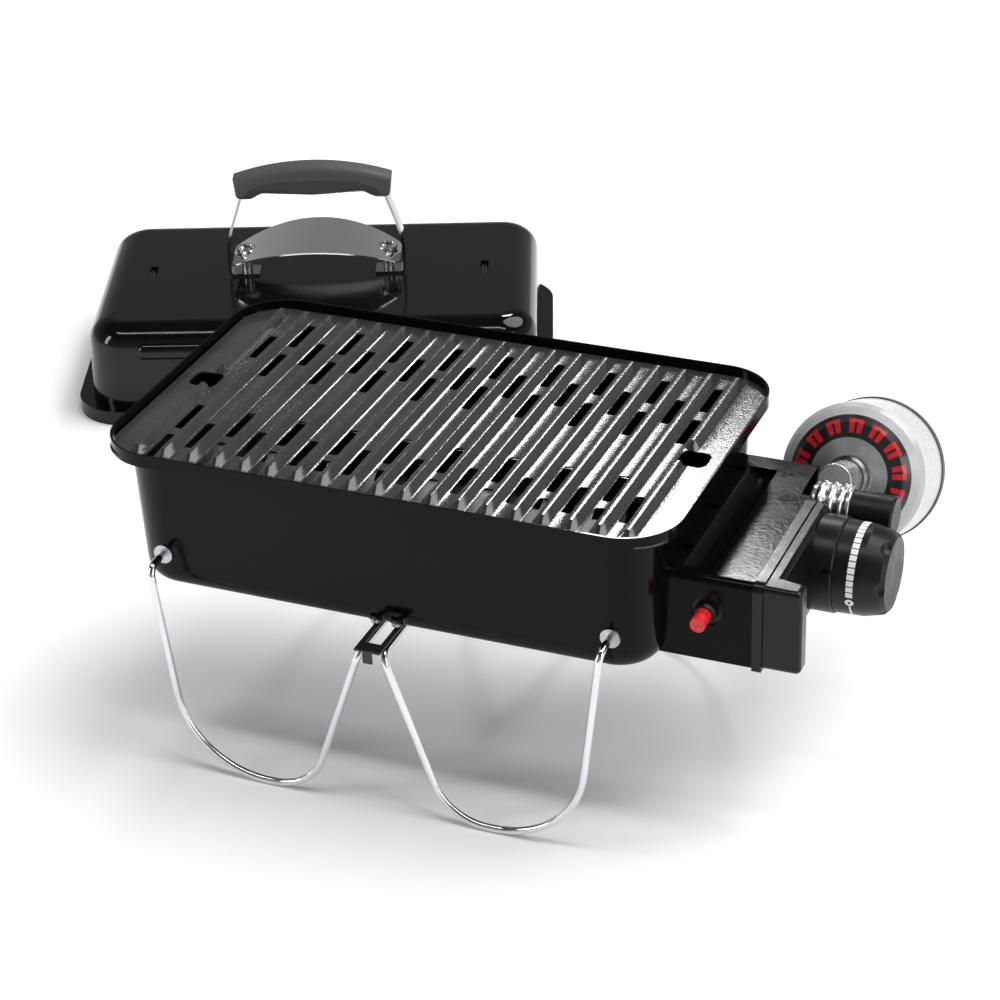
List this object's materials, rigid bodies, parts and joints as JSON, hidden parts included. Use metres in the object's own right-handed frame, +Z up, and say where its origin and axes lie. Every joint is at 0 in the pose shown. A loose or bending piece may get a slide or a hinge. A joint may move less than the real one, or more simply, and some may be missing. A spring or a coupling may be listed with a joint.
{
  "type": "portable tabletop gas grill",
  "caption": "Portable tabletop gas grill with enamelled bowl, ridged grate, lift-off lid, fold-out wire legs, control box and screw-on gas cartridge.",
  "frame": {"origin": "on the table under the centre of the bowl", "axes": "+X along the bowl's long side towards the control box, +Y to the back, +Z up"},
  "size_m": [0.9233, 0.8519, 0.255],
  "materials": {
    "black_enamel": "gloss",
    "grate_enamel": "satin",
    "bright_wire": "polished",
    "polished_steel": "polished",
    "zinc_steel": "satin",
    "black_steel": "satin",
    "tamer_steel": "satin",
    "burner_steel": "satin",
    "cast_metal": "bright cast",
    "black_plastic": "satin",
    "red_plastic": "gloss",
    "grip_plastic": "matte",
    "insert_plastic": "matte",
    "white_lacquer": "gloss",
    "brass": "satin",
    "ceramic": "gloss",
    "lead_rubber": "matte"
  },
  "bodies": {
    "firebox": {"bowl": "black_enamel", "leg_bushes": "zinc_steel", "leg_catch": "black_steel", "catch_screws": "zinc_steel", "flame_tamer": "tamer_steel", "tamer_ledges": "black_enamel", "burner_tube": "burner_steel", "burner_bracket": "burner_steel", "control_box": "black_enamel", "end_cap": "black_plastic", "knob_collar": "black_plastic", "regulator_body": "cast_metal", "regulator_bonnet": "black_plastic", "gas_jet": "brass", "igniter_body": "black_plastic", "igniter_spring": "zinc_steel", "electrode_ceramic": "ceramic", "spark_electrode": "zinc_steel", "ignition_lead": "lead_rubber", "box_screws": "zinc_steel"},
    "leg_left_body": {"leg_left": "bright_wire"},
    "leg_right_body": {"leg_right": "bright_wire"},
    "grate": {"cooking_grate": "grate_enamel"},
    "knob": {"control_knob": "black_plastic", "valve_stem": "brass"},
    "button": {"igniter_button": "red_plastic"},
    "cartridge": {"cartridge_can": "white_lacquer", "cartridge_valve": "brass", "cartridge_rim": "black_steel"},
    "lid": {"lid_shell": "black_enamel", "handle_strap": "polished_steel", "handle_grip": "grip_plastic", "grip_insert": "insert_plastic", "heat_shield": "polished_steel", "shield_spacers": "zinc_steel", "handle_bolts": "polished_steel", "handle_nuts": "zinc_steel"}
  },
  "joints": [
    {"name": "left_leg_fold", "type": "hinge", "parent": "firebox", "child": "leg_left_body", "pos_m": [-0.1715, 0, 0.167], "axis": [0, 1, 0], "range_deg": [0, 263]},
    {"name": "right_leg_fold", "type": "hinge", "parent": "firebox", "child": "leg_right_body", "pos_m": [0.1715, 0, 0.167], "axis": [0, -1, 0], "range_deg": [0, 60]},
    {"name": "grate_lift", "type": "slide", "parent": "firebox", "child": "grate", "axis": [0, 0, 1], "range_m": [0, 0.06]},
    {"name": "knob_turn", "type": "hinge", "parent": "firebox", "child": "knob", "pos_m": [0.296, 0.0174, 0.173], "axis": [1, 0, 0], "range_deg": [0, 270]},
    {"name": "igniter_press", "type": "slide", "parent": "firebox", "child": "button", "axis": [0, 1, 0], "range_m": [0, 0.006], "stiffness_N_per_m": 900, "springref_m": -0.003, "deforming": ["igniter_spring"]},
    {"name": "cartridge_unscrew", "type": "slide", "parent": "firebox", "child": "cartridge", "axis": [0, 0.9205, -0.3907], "range_m": [0, 0.06]},
    {"name": "lid_lift", "type": "slide", "parent": "firebox", "child": "lid", "axis": [0, 0, 1], "range_m": [0, 0.35]}
  ]
}
